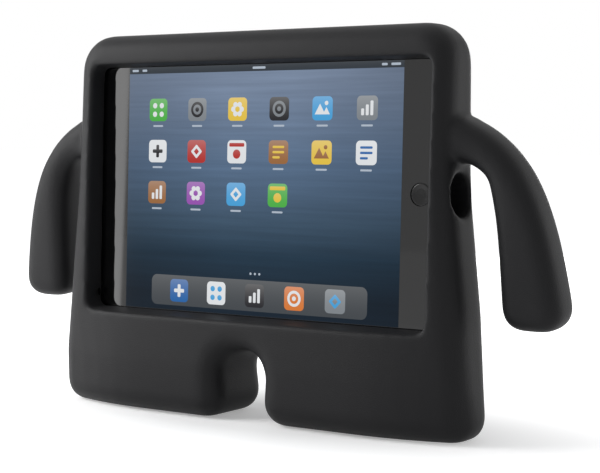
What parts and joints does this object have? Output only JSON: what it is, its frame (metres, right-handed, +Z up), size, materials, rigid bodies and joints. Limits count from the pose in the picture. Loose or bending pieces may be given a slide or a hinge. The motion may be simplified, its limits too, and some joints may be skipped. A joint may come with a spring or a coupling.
{
  "type": "kids tablet case",
  "caption": "Soft foam stand case with arms and feet, holding a tablet on its long side behind a window over the screen.",
  "frame": {"origin": "on the floor under the middle of the case, halfway between the front and the back of the feet", "axes": "+X to the right of someone facing the screen, +Y from the screen to the back, +Z up"},
  "size_m": [0.313, 0.0433, 0.1866],
  "materials": {
    "foam": "soft matte closed-cell foam, near black",
    "dark_metal": "dark anodised satin",
    "black_glass": "polished black-bordered cover glass",
    "screen": "lit screen with a plain blue background and simple coloured tiles",
    "black_plastic": "smooth black moulding",
    "steel": "stamped bright steel",
    "pouch": "grey foil pouch",
    "board": "dark green circuit board"
  },
  "bodies": {
    "case_and_tablet": {"case_body": "foam", "tablet_rear_shell": "dark_metal", "front_glass": "black_glass", "display_panel": "screen", "home_button_switch": "steel", "front_camera": "black_plastic", "rear_camera": "black_plastic", "rear_camera_cover": "black_glass", "battery_left": "pouch", "battery_right": "pouch", "logic_board": "board", "speaker_upper": "black_plastic", "speaker_lower": "black_plastic", "charging_socket": "steel", "headphone_socket": "black_plastic", "sleep_switch": "steel", "side_switch_strip": "steel"},
    "home_key": {"home_button": "black_plastic"},
    "sleep_key": {"sleep_button": "dark_metal"},
    "volume_up_key": {"volume_up_button": "dark_metal"},
    "volume_down_key": {"volume_down_button": "dark_metal"},
    "mute_key": {"mute_slider": "dark_metal"}
  },
  "joints": [
    {"name": "home_press", "type": "slide", "parent": "case_and_tablet", "child": "home_key", "axis": [0, 0.9993, -0.0379], "range_m": [0, 0.0003], "stiffness_N_per_m": 600},
    {"name": "sleep_press", "type": "slide", "parent": "case_and_tablet", "child": "sleep_key", "axis": [1, 0, 0], "range_m": [0, 0.0003], "stiffness_N_per_m": 600},
    {"name": "volume_up_press", "type": "slide", "parent": "case_and_tablet", "child": "volume_up_key", "axis": [0, -0.0379, -0.9993], "range_m": [0, 0.0003], "stiffness_N_per_m": 600},
    {"name": "volume_down_press", "type": "slide", "parent": "case_and_tablet", "child": "volume_down_key", "axis": [0, -0.0379, -0.9993], "range_m": [0, 0.0003], "stiffness_N_per_m": 600},
    {"name": "mute_slide", "type": "slide", "parent": "case_and_tablet", "child": "mute_key", "axis": [1, 0, 0], "range_m": [0, 0.0015]}
  ]
}
